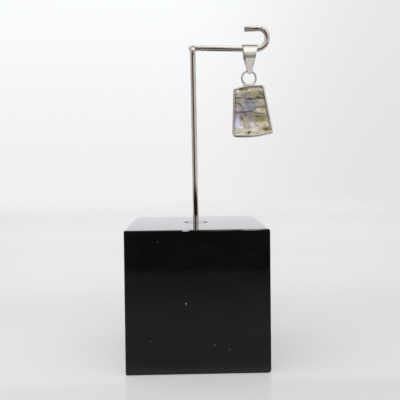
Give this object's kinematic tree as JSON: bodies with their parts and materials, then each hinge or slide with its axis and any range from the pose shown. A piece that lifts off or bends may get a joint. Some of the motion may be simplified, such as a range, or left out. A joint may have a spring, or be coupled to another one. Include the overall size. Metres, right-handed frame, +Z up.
{
  "type": "gemstone pendant on a wire hook block stand",
  "caption": "Faceted gemstone drop in a silver bezel, hung by its ring and folded bail from the chromed wire hook of a plain glossy block stand.",
  "frame": {"origin": "centre of the block's underside", "axes": "+Z up, +X along the arm, the drop's face looks along -Y"},
  "size_m": [0.0554, 0.0504, 0.1255],
  "materials": {
    "acrylic": "polished black acrylic with fine dust and scuffs",
    "chromed_wire": "bright chrome plate on drawn wire",
    "silver": "satin silver with fine scratches",
    "gemstone": "polished iridescent feldspar with dark seams"
  },
  "bodies": {
    "stand": {"block": "acrylic", "wire_hook": "chromed_wire", "bail": "silver"},
    "drop": {"setting": "silver", "stone": "gemstone"}
  },
  "joints": [
    {"name": "drop_swing", "type": "hinge", "parent": "stand", "child": "drop", "pos_m": [0.0213, 0, 0.10806], "axis": [1, 0, 0], "range_deg": [-90, 90]}
  ]
}
